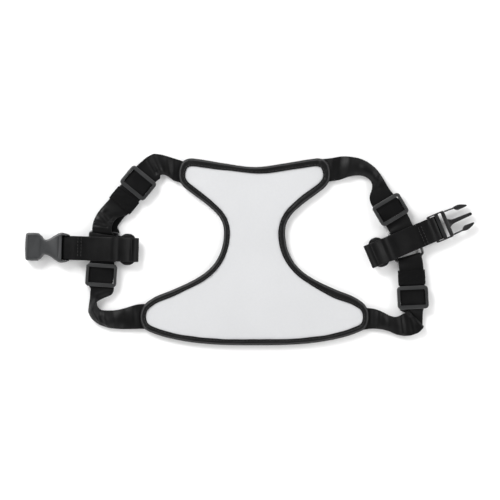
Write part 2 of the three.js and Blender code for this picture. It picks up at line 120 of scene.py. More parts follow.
def way_and_side(ring):
    """Unit vectors along a closed ring and to its right, at each point."""
    way = unit(np.roll(ring, -1, axis=0) - np.roll(ring, 1, axis=0))
    return way, np.column_stack([way[:, 1], -way[:, 0]])


def hermite(u, a, way_a, b, way_b):
    """A cubic from a to b that leaves along way_a and arrives along way_b."""
    return (
        (2 * u**3 - 3 * u**2 + 1) * a
        + (u**3 - 2 * u**2 + u) * way_a
        + (3 * u**2 - 2 * u**3) * b
        + (u**3 - u**2) * way_b
    )


def smooth_rows(rows, step):
    """A smooth curve through rows, sampled about every step mm. A row starts with two edge points."""
    rows = np.asarray(rows, float)
    middle = (rows[:, 0:3] + rows[:, 3:6]) / 2
    gaps = np.maximum(np.linalg.norm(np.diff(middle, axis=0), axis=1), 0.05)
    t = np.concatenate([[0], np.cumsum(gaps)])
    slopes = np.gradient(rows, t, axis=0)
    samples = np.linspace(0, t[-1], max(int(t[-1] / step), 8) + 1)
    k = np.clip(np.searchsorted(t, samples, side="right") - 1, 0, len(t) - 2)
    h = (t[k + 1] - t[k])[:, None]
    u = ((samples - t[k])[:, None]) / h
    return hermite(u, rows[k], h * slopes[k], rows[k + 1], h * slopes[k + 1])


def new_object(name, verts, faces, material, smooth=True, uvs=None, closed=True):
    mesh = bpy.data.meshes.new(name)
    mesh.from_pydata([tuple(v) for v in np.asarray(verts, float) * MM], [], faces)
    if closed:
        bm = bmesh.new()
        bm.from_mesh(mesh)
        bmesh.ops.recalc_face_normals(bm, faces=bm.faces)
        bm.to_mesh(mesh)
        bm.free()
    if uvs is not None:
        layer = mesh.uv_layers.new(name="Weave")
        uvs = np.asarray(uvs, float)
        loops = np.zeros(len(mesh.loops), np.int32)
        mesh.loops.foreach_get("vertex_index", loops)
        layer.data.foreach_set("uv", uvs[loops].astype(np.float32).ravel())
    mesh.polygons.foreach_set("use_smooth", [smooth] * len(mesh.polygons))
    mesh.materials.append(material)
    mesh.update()
    obj = bpy.data.objects.new(name, mesh)
    SCENE.collection.objects.link(obj)
    return obj


def tube_faces(rings, size, goes_round=False):
    """Quads over rings of points, with the two ends closed unless the last ring joins the first."""
    faces = []
    spans = rings if goes_round else rings - 1
    for i in range(spans):
        a, b = i * size, ((i + 1) % rings) * size
        for j in range(size):
            k = (j + 1) % size
            faces.append((a + j, b + j, b + k, a + k))
    if not goes_round:
        faces.append(tuple(range(size)))
        faces.append(tuple(reversed(range((rings - 1) * size, rings * size))))
    return faces


def wobble(x, y, z, scale, seed=0.0):
    """Smooth noise that is the same on every run, mostly between -1 and 1."""
    return 2 * noise.noise(Vector((x / scale + seed, y / scale - seed, z / scale + 2 * seed)))


def read_mm(obj):
    return np.array([v.co for v in obj.data.vertices], float) / MM


def write_mm(obj, points):
    obj.data.vertices.foreach_set("co", (points * MM).astype(np.float32).ravel())


def apply_modifiers(obj):
    dg = bpy.context.evaluated_depsgraph_get()
    mesh = bpy.data.meshes.new_from_object(obj.evaluated_get(dg))
    obj.modifiers.clear()
    obj.data = mesh
    return obj


def subdivide(obj, levels):
    finer = obj.modifiers.new("finer", "SUBSURF")
    finer.levels = finer.render_levels = levels
    return apply_modifiers(obj)


def bevel_edges(obj, width, segments, sharper_than):
    edges = obj.modifiers.new("edges", "BEVEL")
    edges.width = width * MM
    edges.segments = segments
    edges.limit_method = "ANGLE"
    edges.angle_limit = math.radians(sharper_than)
    return apply_modifiers(obj)


def stands_for(piece, node, body):
    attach(piece, body)
    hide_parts(node)


# ---- materials ----
class Shader:
    """A Principled material whose nodes are added in a few words."""

    def __init__(self, name, color, roughness, **sockets):
        self.material = bpy.data.materials.new(name)
        self.material.use_nodes = True
        self.tree = self.material.node_tree
        self.bsdf = self.tree.nodes["Principled BSDF"]
        self.bsdf.inputs["Base Color"].default_value = (*color, 1)
        self.bsdf.inputs["Roughness"].default_value = roughness
        for socket, value in sockets.items():
            self.bsdf.inputs[socket.replace("_", " ")].default_value = value

    def node(self, kind, **props):
        n = self.tree.nodes.new("ShaderNode" + kind)
        for k, v in props.items():
            setattr(n, k, v)
        return n

    def put(self, socket, value):
        if hasattr(value, "is_output"):
            self.tree.links.new(value, socket)
        else:
            socket.default_value = value

    def math(self, operation, a, b=None, c=None):
        n = self.node("Math", operation=operation)
        for socket, value in zip(n.inputs, (a, b, c)):
            if value is not None:
                self.put(socket, value)
        return n.outputs[0]

    def noise(self, scale, detail=3.0, vector=None, roughness=0.5):
        n = self.node("TexNoise")
        n.inputs["Scale"].default_value = scale
        n.inputs["Detail"].default_value = detail
        n.inputs["Roughness"].default_value = roughness
        self.put(n.inputs["Vector"], vector if vector is not None else self.place())
        return n.outputs["Fac"]

    def cells(self, scale, vector, **props):
        n = self.node("TexVoronoi", **props)
        n.inputs["Scale"].default_value = scale
        self.put(n.inputs["Vector"], vector)
        return n

    def place(self):
        return self.node("TexCoord").outputs["Object"]

    def weave_uv(self):
        uv = self.node("UVMap", uv_map="Weave").outputs["UV"]
        split = self.node("SeparateXYZ")
        self.put(split.inputs[0], uv)
        return uv, split.outputs["X"], split.outputs["Y"]

    def mix(self, factor, a, b):
        n = self.node("Mix", data_type="RGBA")
        self.put(n.inputs["Factor"], factor)
        self.put(n.inputs["A"], a if hasattr(a, "is_output") else (*a, 1))
        self.put(n.inputs["B"], b if hasattr(b, "is_output") else (*b, 1))
        return n.outputs["Result"]

    def ramp(self, value, low, high, out_low=0.0, out_high=1.0):
        n = self.node("MapRange")
        for socket, v in zip(n.inputs, (value, low, high, out_low, out_high)):
            self.put(socket, v)
        return n.outputs["Result"]

    def color(self, output):
        self.tree.links.new(output, self.bsdf.inputs["Base Color"])

    def rough(self, output):
        self.tree.links.new(output, self.bsdf.inputs["Roughness"])

    def bump(self, height, distance, strength):
        n = self.node("Bump")
        n.inputs["Strength"].default_value = strength
        n.inputs["Distance"].default_value = distance * MM
        self.put(n.inputs["Height"], height)
        self.tree.links.new(n.outputs["Normal"], self.bsdf.inputs["Normal"])


# Painted highlight: the pale grey painted along the binding tape's rounded crest.
CREST_HIGHLIGHT_GREY = (0.045, 0.045, 0.046)


def ribbed_cloth(name, dark, light, rib, pick, roughness, sheen, depth, spec, worn=None):
    """Cloth woven in lengthwise ribs, each crossed by picks that step by half a pick from rib to rib. Between
    the two given distances across, it is painted paler: a painted highlight along the rounded crest."""
    s = Shader(name, dark, roughness, Sheen_Weight=sheen, Sheen_Roughness=0.45, Specular_IOR_Level=spec)
    uv, along, across = s.weave_uv()
    rib_wave = s.math("SINE", s.math("MULTIPLY", across, math.pi / rib))
    step = s.math("MULTIPLY", s.math("SIGN", rib_wave), math.pi / 4)
    pick_wave = s.math("SINE", s.math("ADD", s.math("MULTIPLY", along, math.pi / pick), step))
    ridge = s.math("POWER", s.math("ABSOLUTE", rib_wave), 0.6)
    cross = s.math("MULTIPLY_ADD", s.math("ABSOLUTE", pick_wave), 0.6, 0.4)
    height = s.math("MULTIPLY", ridge, cross)
    fuzz = s.noise(0.9, 4.0, uv, 0.65)
    patches = s.noise(0.045, 3.0, uv)
    threads = s.math("MULTIPLY_ADD", fuzz, 0.35, s.math("MULTIPLY", height, 0.45))
    tone = s.math("MULTIPLY_ADD", patches, 0.5, threads)
    color = s.mix(s.ramp(tone, 0.25, 1.0), dark, light)
    # Painted highlight along the crest, between the two given distances across, broken up by the fuzz.
    if worn:
        low, high = worn
        middle, reach = (low + high) / 2, (high - low) / 2
        off = s.math("ABSOLUTE", s.math("SUBTRACT", across, middle))
        near = s.ramp(off, 0.35 * reach, reach, 1.0, 0.0)
        painted_highlight = s.math("MULTIPLY", near, s.ramp(fuzz, 0.25, 0.75, 0.5, 1.0))
        color = s.mix(painted_highlight, color, CREST_HIGHLIGHT_GREY)
    s.color(color)
    s.rough(s.ramp(patches, 0.3, 0.7, roughness - 0.07, roughness + 0.08))
    s.bump(s.math("MULTIPLY_ADD", fuzz, 0.25, height), depth, 0.8)
    return s.material


WEBBING = ribbed_cloth(
    "webbing_weave", (0.0015, 0.0015, 0.0016), (0.0065, 0.0065, 0.0067),
    rib=1.25, pick=1.0, roughness=0.4, sheen=0.01, depth=0.06, spec=0.14,
)  # fmt: skip
ELASTIC = ribbed_cloth(
    "elastic_ribs", (0.001, 0.001, 0.0011), (0.006, 0.006, 0.0062),
    rib=0.8, pick=1.7, roughness=0.6, sheen=0.01, depth=0.09, spec=0.06,
)  # fmt: skip
# The binding tape carries a painted highlight along its crest, between 2.6 and 4.6 mm across.
TAPE = ribbed_cloth(
    "binding_tape_knit", (0.002, 0.002, 0.0021), (0.008, 0.008, 0.0082),
    rib=0.7, pick=0.8, roughness=0.42, sheen=0.02, depth=0.06, spec=0.16, worn=(2.6, 4.6),
)  # fmt: skip


def face_fabric():
    s = Shader("face_fabric_smooth", (0.8, 0.81, 0.83), 0.62, Sheen_Weight=0.05, Specular_IOR_Level=0.2)
    place = s.place()
    cell = s.cells(1500, place).outputs["Distance"]
    soft = s.noise(14.0, 3.0, place)
    fine = s.noise(420.0, 4.0, place, 0.6)
    tone = s.math("MULTIPLY_ADD", soft, 0.6, s.math("MULTIPLY", fine, 0.4))
    s.color(s.mix(s.ramp(tone, 0.3, 0.7), (0.515, 0.519, 0.528), (0.555, 0.559, 0.568)))
    s.rough(s.ramp(fine, 0.3, 0.7, 0.55, 0.7))
    s.bump(s.math("MULTIPLY_ADD", fine, 0.5, cell), 0.05, 0.5)
    return s.material


def mesh_lining():
    s = Shader("lining_air_mesh", (0.012, 0.012, 0.013), 0.8, Sheen_Weight=0.3, Specular_IOR_Level=0.3)
    place = s.place()
    hexes = s.cells(380, place, feature="DISTANCE_TO_EDGE")
    hexes.inputs["Randomness"].default_value = 0.15
    hole = s.ramp(hexes.outputs["Distance"], 0.12, 0.3)
    fine = s.noise(900.0, 3.0, place)
    s.color(s.mix(hole, s.mix(fine, (0.02, 0.02, 0.022), (0.034, 0.034, 0.036)), (0.004, 0.004, 0.004)))
    s.bump(s.math("MULTIPLY_ADD", fine, 0.2, s.math("SUBTRACT", 1.0, hole)), 0.5, 0.9)
    return s.material


def foam_core():
    s = Shader("foam_core", (0.72, 0.72, 0.7), 0.95)
    cell = s.cells(900, s.place()).outputs["Distance"]
    s.color(s.mix(cell, (0.66, 0.66, 0.64), (0.78, 0.78, 0.76)))
    s.bump(cell, 0.3, 0.8)
    return s.material


def moulded_plastic(name, dark, light, roughness):
    """Satin moulded plastic: a fine grain, faint flow marks, and scuffs."""
    s = Shader(name, dark, roughness, Specular_IOR_Level=0.55)
    place = s.place()
    grain = s.noise(1400.0, 3.0, place, 0.6)
    flow = s.noise(60.0, 3.0, place)
    scuff = s.ramp(s.noise(240.0, 6.0, place, 0.7), 0.56, 0.72)
    s.color(s.mix(s.math("MULTIPLY_ADD", scuff, 0.35, s.math("MULTIPLY", flow, 0.7)), dark, light))
    s.rough(s.math("MULTIPLY_ADD", scuff, 0.1, s.ramp(flow, 0.3, 0.7, roughness - 0.05, roughness + 0.06)))
    s.bump(s.math("MULTIPLY_ADD", scuff, 0.2, grain), 0.04, 0.5)
    return s.material


def coated_metal():
    s = Shader("ring_black_coating", (0.006, 0.006, 0.007), 0.16, Coat_Weight=0.6, Coat_Roughness=0.08)
    place = s.place()
    wear = s.ramp(s.noise(300.0, 5.0, place, 0.7), 0.6, 0.75)
    s.color(s.mix(wear, (0.006, 0.006, 0.007), (0.02, 0.02, 0.021)))
    s.rough(s.math("MULTIPLY_ADD", wear, 0.2, 0.15))
    s.bump(s.noise(500.0, 3.0, place), 0.03, 0.35)
    return s.material


def sewing_thread():
    s = Shader("thread_twist", (0.006, 0.006, 0.0065), 0.5, Sheen_Weight=0.05)
    place = s.place()
    twist = s.node("TexWave", wave_type="BANDS", bands_direction="DIAGONAL")
    twist.inputs["Scale"].default_value = 700.0
    s.put(twist.inputs["Vector"], place)
    s.color(s.mix(twist.outputs["Fac"], (0.003, 0.003, 0.003), (0.012, 0.012, 0.0125)))
    s.bump(twist.outputs["Fac"], 0.08, 0.7)
    return s.material


FACE_FABRIC = face_fabric()
LINING = mesh_lining()
FOAM = foam_core()
SLIDER_PLASTIC = moulded_plastic("slider_plastic", (0.02, 0.0205, 0.021), (0.036, 0.0365, 0.037), 0.33)
BUCKLE_PLASTIC = moulded_plastic("buckle_plastic", (0.026, 0.027, 0.028), (0.042, 0.043, 0.045), 0.4)
PLUG_PLASTIC = moulded_plastic("plug_plastic", (0.006, 0.006, 0.0063), (0.014, 0.014, 0.0145), 0.36)
RING_COATING = coated_metal()
THREAD = sewing_thread()


# ---- ribbons of webbing ----
ACROSS = [1, 0.985, 0.955, 0.91, 0.84, 0.76, 0.68, 0.6, 0.52, 0.44, 0.36, 0.28, 0.2, 0.12, 0.04]
ACROSS += [-v for v in reversed(ACROSS)]
# A ribbon's section: its upper face (1) from edge to edge, and its lower face (-1) back.
SECTION = [(v, 1) for v in ACROSS] + [(v, -1) for v in reversed(ACROSS[1:-1])]


def edge_thickness(v):
    """Half the webbing's thickness at a share of its half-width: full, with a rounded selvedge."""
    return min(1.0, math.sqrt(max(0.0, 1 - abs(v)) / 0.05))


def crease_rise(x, y, creases):
    """How far creases lift cloth at a point. A crease is (x0, y0, x1, y1, reach, height); a dip's height is
    negative."""
    rise = 0.0
    for x0, y0, x1, y1, reach, height in creases:
        dx, dy = x1 - x0, y1 - y0
        along = ((x - x0) * dx + (y - y0) * dy) / (dx * dx + dy * dy)
        u = min(1.0, max(0.0, along))
        away = math.hypot(x - x0 - u * dx, y - y0 - u * dy) / reach
        if away < 3:
            rise += height * math.exp(-away * away)
    return rise


def ribbon(name, rows, step=1.0, creases=(), roughen=0.12):
    """Webbing through rows of (first edge x y z, second edge x y z, arch), with creases where it faces up."""
    stations = smooth_rows(rows, step)
    left, right, arch = stations[:, 0:3], stations[:, 3:6], stations[:, 6]
    middle = (left + right) / 2
    way = unit(np.gradient(middle, axis=0))
    if np.cross(way[0], left[0] - right[0])[2] < 0:
        left, right = right, left
    side = left - right
    width = np.linalg.norm(side, axis=1)
    side /= width[:, None]
    up = unit(np.cross(way, side))
    length = distances(middle)
    verts, uvs = [], []
    seed = (sum(ord(c) for c in name) % 97) * 0.37
    for i in range(len(stations)):
        for v, face in SECTION:
            rise = arch[i] * (1 - v * v)
            if creases and up[i][2] > 0.2:
                p = middle[i] + side[i] * v * width[i] / 2
                rise += crease_rise(p[0], p[1], creases)
            rise += roughen * wobble(length[i], v * 9, 0, 7.0, seed)
            half = WEB_THICK / 2 * edge_thickness(v) * face
            verts.append(middle[i] + side[i] * v * width[i] / 2 + up[i] * (rise + half))
            uvs.append((length[i], v * WEB_WIDTH / 2))
    return new_object(name, verts, tube_faces(len(stations), len(SECTION)), WEBBING, uvs=uvs)


def edge_rows(pairs):
    """Rows from (left x, left y, right x, right y, z, arch)."""
    return [(ax, ay, z, bx, by, z, arch) for ax, ay, bx, by, z, arch in pairs]


def rows_across(place, stations, half=WEB_WIDTH / 2):
    """Rows square across a straight run that starts at a place: (distance, z, arch)."""
    rows = []
    for distance, z, arch in stations:
        (ax, ay), (bx, by) = placed([(distance, half), (distance, -half)], place)
        rows.append((ax, ay, z, bx, by, z, arch))
    return rows


def half_turn(x, z, reach, rise, start, steps):
    """Stations round half a turn about (x, z), from a start in half turns. Negative steps go clockwise."""
    stations = []
    for k in range(abs(steps) + 1):
        a = math.pi * (start + k / steps)
        stations.append((x + reach * math.cos(a), z + rise * math.sin(a), 0))
    return stations


def bar_turn(bar, half_vector, forward, skew=(0, 0)):
    """Rows round a ring's bar, over it and back under. half_vector is from the bar's middle to the strap's
    first edge, and skew is how much wider its second edge's side is at the start and at the end."""
    rows = []
    steps = 5
    for k in range(steps + 1):
        a = math.pi * (0.5 - k / steps)
        p = np.array(bar) + np.array(forward) * RING_LOOP * math.cos(a)
        wider = skew[0] + (skew[1] - skew[0]) * k / steps
        a_xy, b_xy = p + half_vector, p - half_vector * (1 + wider / np.linalg.norm(half_vector))
        height = RING_Z + RING_LOOP * math.sin(a)
        rows.append((a_xy[0], a_xy[1], height, b_xy[0], b_xy[1], height, 0))
    return rows


SPREAD = 0.35


def widened(rows, place, reach):
    """Rows whose middle is near a place, made wider on both edges, where a slider spreads the strap."""
    out = []
    for ax, ay, az, bx, by, bz, arch in rows:
        if math.hypot((ax + bx) / 2 - place[0], (ay + by) / 2 - place[1]) < reach:
            width = math.hypot(ax - bx, ay - by)
            dx, dy = (ax - bx) / width * SPREAD, (ay - by) / width * SPREAD
            ax, ay, bx, by = ax + dx, ay + dy, bx - dx, by - dy
        out.append((ax, ay, az, bx, by, bz, arch))
    return out


# ---- the panel ----
# The right half of the outline, from the middle of the top edge round to the middle of the bottom edge.
HALF_OUTLINE = [
    (0, 85), (31, 88.8), (58, 93.2), (68, 93.7), (75, 89.8), (78, 81), (77.6, 72), (73.5, 65),
    (65.5, 58.3), (49.7, 46.5), (38, 35.5), (32.6, 25.5), (31.7, 14.8), (34.2, 0), (40.2, -12.7),
    (49.7, -22.9), (63, -31.6), (83, -41), (104, -49.7), (114.7, -58.3), (118, -68.6), (114.8, -80.5),
    (102.5, -87.2), (79, -93.5), (47, -97.7), (0, -98.9),
]  # fmt: skip


def closed_curve(points, count):
    """A centripetal Catmull-Rom curve round the points, sampled evenly."""
    p = np.asarray(points, float)
    n = len(p)
    fine = []
    for i in range(n):
        p0, p1, p2, p3 = (p[(i + k) % n] for k in (-1, 0, 1, 2))
        d1, d2, d3 = (max(np.linalg.norm(b - a), 1e-6) ** 0.5 for a, b in ((p0, p1), (p1, p2), (p2, p3)))
        m1 = ((p1 - p0) / d1 - (p2 - p0) / (d1 + d2) + (p2 - p1) / d2) * d2
        m2 = ((p2 - p1) / d2 - (p3 - p1) / (d2 + d3) + (p3 - p2) / d3) * d2
        u = np.linspace(0, 1, 40, endpoint=False)[:, None]
        fine.append(hermite(u, p1, m1, p2, m2))
    loop = np.concatenate(fine + [fine[0][:1]])
    length = distances(loop)
    at = np.linspace(0, length[-1], count, endpoint=False)
    return np.column_stack([np.interp(at, length, loop[:, k]) for k in (0, 1)])


RIGHT_HALF = [(PANEL_AXIS_X + x, y) for x, y in HALF_OUTLINE]
LEFT_HALF = [(PANEL_AXIS_X - x, y) for x, y in reversed(HALF_OUTLINE[1:-1])]
OUTLINE = closed_curve(RIGHT_HALF + LEFT_HALF, 1000)
OUTLINE_WAY, INWARD = way_and_side(OUTLINE)
OUTLINE_AT = distances(OUTLINE)


def inside_outline(points, ring):
    """Which points are inside a closed ring, by counting the ring's crossings."""
    x, y = points[:, 0][:, None], points[:, 1][:, None]
    a, b = ring, np.roll(ring, -1, axis=0)
    crosses = (a[:, 1] > y) != (b[:, 1] > y)
    at = (b[:, 0] - a[:, 0]) * (y - a[:, 1]) / np.where(b[:, 1] == a[:, 1], 1e-9, b[:, 1] - a[:, 1]) + a[:, 0]
    return (np.sum(crosses & (x < at), axis=1) % 2) == 1


def nearest_on(points, ring):
    """For each point, the distance to the ring's nearest point, and which one it is."""
    best = np.full(len(points), 1e9)
    which = np.zeros(len(points), int)
    for start in range(0, len(points), 2000):
        part = points[start : start + 2000]
        d = np.linalg.norm(part[:, None, :] - ring[None, :, :], axis=2)
        which[start : start + 2000] = d.argmin(axis=1)
        best[start : start + 2000] = d.min(axis=1)
    return best, which


PAD_INSET = 1.7
PAD_CELL = 4.0
PAD_TOP = 4.9
PAD_BOTTOM = 1.4
PUFF_CAP = 1.5
CLOTH_THICK = 0.6
CORE_GAP = 0.95  # from each cloth's outside in to the foam
# The face and the lining are cut to this line, and stay inside a slope that starts under the binding's lip.
CLOTH_EDGE = OUTLINE + INWARD * PAD_INSET
UNDER_LIP = 1.2
LIP_SLOPE = 0.45


def pad_grid():
    """Square cells that fill the cloth's cut line, with the outermost corners moved onto it."""
    ring = CLOTH_EDGE
    xs = np.arange(ring[:, 0].min() - PAD_CELL, ring[:, 0].max() + PAD_CELL, PAD_CELL)
    ys = np.arange(ring[:, 1].min() - PAD_CELL, ring[:, 1].max() + PAD_CELL, PAD_CELL)
    nodes = np.array([(x, y) for y in ys for x in xs])
    keep = inside_outline(nodes, ring) & (nearest_on(nodes, ring)[0] > 0.25 * PAD_CELL)
    keep = keep.reshape(len(ys), len(xs))
    whole = keep[:-1, :-1] & keep[1:, :-1] & keep[:-1, 1:] & keep[1:, 1:]
    index, cells = {}, []
    for j, i in zip(*np.nonzero(whole)):
        cell = []
        for jj, ii in ((j, i), (j, i + 1), (j + 1, i + 1), (j + 1, i)):
            cell.append(index.setdefault((jj, ii), len(index)))
        cells.append(tuple(cell))
    points = np.array([(xs[i], ys[j]) for j, i in index])
    edges = {}
    for cell in cells:
        for a, b in zip(cell, cell[1:] + cell[:1]):
            edges[(a, b)] = edges.get((a, b), 0) + 1
    rim = [(a, b) for a, b in edges if (b, a) not in edges]
    on_rim = sorted({a for edge in rim for a in edge})
    _, which = nearest_on(points[on_rim], ring)
    points[on_rim] = ring[which]
    return points, cells, rim, on_rim


def closed_cells(cells, rim, n):
    """Faces of a closed pad whose top has n points, then its bottom the same n."""
    faces = list(cells) + [tuple(n + k for k in reversed(c)) for c in cells]
    return faces + [(a, a + n, b + n, b) for a, b in rim]


def puffed_pad(points, cells, rim, on_rim):
    """Heights of the pad's top and bottom, after its filling has pushed it out between its pinned edges."""
    n = len(points)
    top = np.column_stack([points, np.full(n, PAD_TOP)])
    bottom = np.column_stack([points, np.full(n, PAD_BOTTOM)])
    rest = np.vstack([top, bottom])
    pad = new_object("pad_in_simulation", rest, closed_cells(cells, rim, n), FOAM)
    group = pad.vertex_groups.new(name="edge")
    group.add([int(k) for k in on_rim] + [int(k) + n for k in on_rim], 1.0, "REPLACE")
    cloth = pad.modifiers.new("cloth", "CLOTH")
    settings = cloth.settings
    settings.quality = 6
    settings.mass = 0.3
    settings.tension_stiffness = settings.compression_stiffness = 15
    settings.bending_stiffness = 2.0
    settings.use_pressure = True
    settings.uniform_pressure_force = 4
    settings.vertex_group_mass = "edge"
    settings.effector_weights.gravity = 0
    cloth.point_cache.frame_start, cloth.point_cache.frame_end = 1, 20
    for number in range(1, 21):
        SCENE.frame_set(number)
    dg = bpy.context.evaluated_depsgraph_get()
    moved = read_mm(pad.evaluated_get(dg))
    SCENE.frame_set(1)
    bpy.data.objects.remove(pad)
    step = moved - rest
    far = np.linalg.norm(step, axis=1)
    step *= (PUFF_CAP * np.tanh(far / PUFF_CAP) / np.maximum(far, 1e-9))[:, None]
    return (rest + step)[:n, 2], (rest + step)[n:, 2]


def cloth_layer(name, points, cells, heights, flip, material, pucker):
    """One cloth of the panel: the puffed grid, made finer, drawn into small puckers by the binding's
    stitches. The lining is flipped to face down."""
    faces = [tuple(reversed(c)) for c in cells] if flip else list(cells)
    layer = new_object(name, np.column_stack([points, heights]), faces, material, closed=False)
    co = read_mm(subdivide(layer, 2))
    near, _ = nearest_on(co[:, :2], OUTLINE)
    draw = np.exp(-np.maximum(near - 6, 0) / 7.0)
    for i, (x, y, _) in enumerate(co):
        co[i, 2] += pucker * draw[i] * wobble(x, y, 0, 6.5, 3.1) + 0.14 * wobble(x, y, 0, 38.0, 8.2)
        out_of_lip = max(0.0, near[i] - (lip_width(x, y) - UNDER_LIP))
        if flip:
            co[i, 2] = max(co[i, 2], PAD_BOTTOM - 0.1 - LIP_SLOPE * out_of_lip, 0.06)
        else:
            co[i, 2] = min(co[i, 2], PAD_TOP + 0.1 + LIP_SLOPE * out_of_lip)
    write_mm(layer, co)
    skin = layer.modifiers.new("cloth_thickness", "SOLIDIFY")
    skin.thickness = CLOTH_THICK * MM
    skin.offset = -1
    return apply_modifiers(layer)


# Where the tape was sewn wider: middle x and y, how far that reaches, how much wider.
WIDER_LIPS = [
    (40, 10, 45, 1.1), (92, -45, 22, 2.6), (62, 92, 30, 1.9), (-48, 92, 26, 1.8), (18, 84, 13, 1.2),
    (70, 50, 20, 0.6), (-69.5, 91.5, 9, 0.9), (78.5, 91.5, 9, 0.9),
]  # fmt: skip
NARROWEST_LIP = 6.3


def lip_width(x, y):
    """How far the binding reaches in over the panel."""
    wide = NARROWEST_LIP
    for cx, cy, reach, more in WIDER_LIPS:
        wide += more * math.exp(-(((x - cx) ** 2 + (y - cy) ** 2) / reach**2))
    return wide


STITCH_IN = 1.7  # from the lip out to the stitches
OUTERMOST = 9  # the section's point on the outside edge


def binding_section(lip, rise):
    """The folded tape's section as (inset, height), from the lower lip round the outside to the upper lip and
    back inside."""
    groove = lip - STITCH_IN
    outer = [
        (lip, 0.75), (lip - 0.35, 0.2), (lip - 1, 0.05), (groove, 0.28), (groove - 0.9, 0.02), (2.4, 0),
        (1.3, 0.35), (0.45, 1.1), (0.05, 2.2), (0, 3.2), (0.1, 4.4), (0.55, 5.4), (1.3, 6.1 + rise),
        (2.3, 6.45 + rise), (groove - 1.1, 6.4 + rise), (groove - 0.5, 6.1 + rise), (groove, 5.75),
        (lip - 1.1, 6.05), (lip - 0.45, 5.95), (lip, 5.45),
    ]  # fmt: skip
    inner = [(lip - 0.3, 5.1), (2.2, 5.15), (1.2, 4.6), (1.0, 3.2), (1.2, 1.8), (2.2, 1.2), (lip - 0.3, 1.1)]
    return outer + inner


def inset_line(inset):
    """The outline moved in by an inset at each point. Further in, its corners are rounded off."""
    raw = OUTLINE + INWARD * np.asarray(inset)[:, None]
    weights = {k: math.exp(-((k / 6) ** 2)) for k in range(-15, 16)}
    soft = sum(np.roll(raw, k, axis=0) * w for k, w in weights.items()) / sum(weights.values())
    share = np.clip((np.asarray(inset) - 2) / 3, 0, 1)[:, None]
    return raw + (soft - raw) * share


def binding():
    lips, sections = [], []
    for i, (x, y) in enumerate(OUTLINE):
        at = OUTLINE_AT[i]
        before, after = OUTLINE_WAY[i - 8], OUTLINE_WAY[(i + 8) % len(OUTLINE)]
        tight = min(1.0, abs(before[0] * after[1] - before[1] * after[0]) * 3.0)
        lip = lip_width(x, y) + 0.25 * wobble(at, 0, 0, 14.0, 1.7)
        section = []
        for k, (inset, z) in enumerate(binding_section(lip, 0.25 * wobble(at, 3, 0, 12.0, 5.5))):
            crease = (0.08 + 0.22 * tight) * wobble(at, k * 0.7, 0, 3.2, 9.1)
            if 0.3 < z < 5.0:
                crease *= 0.35
            section.append((inset + 0.3 * crease, max(0.0, z + (crease if z > 3 else -0.3 * abs(crease)))))
        lips.append(lip)
        sections.append(section)
    sections = np.array(sections)
    size = sections.shape[1]
    columns = [np.column_stack([inset_line(sections[:, k, 0]), sections[:, k, 1]]) for k in range(size)]
    verts = np.stack(columns, axis=1).reshape(-1, 3)
    steps = np.linalg.norm(np.diff(sections, axis=1), axis=2)
    arc = np.concatenate([np.zeros((len(OUTLINE), 1)), np.cumsum(steps, axis=1)], axis=1)
    arc -= arc[:, OUTERMOST : OUTERMOST + 1]
    uvs = np.stack([np.repeat(OUTLINE_AT[:, None], size, axis=1), arc], axis=2).reshape(-1, 2)
    return new_object("panel_binding_tape", verts, tube_faces(len(OUTLINE), size, True), TAPE, uvs=uvs), lips


# ---- stitches ----
def stitches(name, runs):
    """Runs of thread along lines of points with a normal each, as short arcs that dip into the cloth."""
    length, gap, radius = 2.5, 0.9, 0.26
    verts, faces = [], []
    sides, steps = 7, 5
    for line, normals in runs:
        line, normals = np.asarray(line, float), np.asarray(normals, float)
        at = distances(line)
        place = gap / 2
        while place + length < at[-1]:
            s = np.linspace(place, place + length, steps)
            p = np.column_stack([np.interp(s, at, line[:, k]) for k in range(3)])
            n = unit(np.column_stack([np.interp(s, at, normals[:, k]) for k in range(3)]))
            way = (p[-1] - p[0]) / np.linalg.norm(p[-1] - p[0])
            base = len(verts)
            for k in range(steps):
                u = k / (steps - 1)
                lift = radius * (1.1 * math.sin(math.pi * u) - 0.55)
                across = np.cross(way, n[k])
                r = radius * (0.55 + 0.45 * math.sin(math.pi * u))
                for j in range(sides):
                    a = 2 * math.pi * j / sides
                    verts.append(p[k] + n[k] * (lift + r * math.sin(a)) + across * r * math.cos(a))
            faces += [tuple(base + v for v in f) for f in tube_faces(steps, sides)]
            place += length + gap
    return new_object(name, verts, faces, THREAD)


UPPER_STITCH_Z = 5.92
LOWER_STITCH_Z = 0.42


def build_panel():
    points, cells, rim, on_rim = pad_grid()
    top, bottom = puffed_pad(points, cells, rim, on_rim)
    face = cloth_layer("panel_face_cloth", points, cells, top, False, FACE_FABRIC, 0.16)
    lining = cloth_layer("panel_lining_mesh", points, cells, bottom, True, LINING, 0.1)
    upper = np.column_stack([points, top - CORE_GAP])
    lower = np.column_stack([points, bottom + CORE_GAP])
    faces = closed_cells(cells, rim, len(points))
    foam = new_object("panel_foam_core", np.vstack([upper, lower]), faces, FOAM)
    subdivide(foam, 1)
    tape, lips = binding()
    line = inset_line(np.array(lips) - STITCH_IN)
    closed = np.vstack([line, line[:1]])
    count = len(closed)
    up = np.tile([0.0, 0.0, 1.0], (count, 1))
    runs = [
        (np.column_stack([closed, np.full(count, UPPER_STITCH_Z)]), up),
        (np.column_stack([closed, np.full(count, LOWER_STITCH_Z)]), -up),
    ]
    thread = stitches("binding_stitches", runs)
    stands_for(face, "panel_face", "panel")
    stands_for(lining, "panel_lining", "panel")
    stands_for(foam, "panel_foam", "panel")
    stands_for(tape, "panel_binding", "panel")
    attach(thread, "panel")
    return face, lining, foam


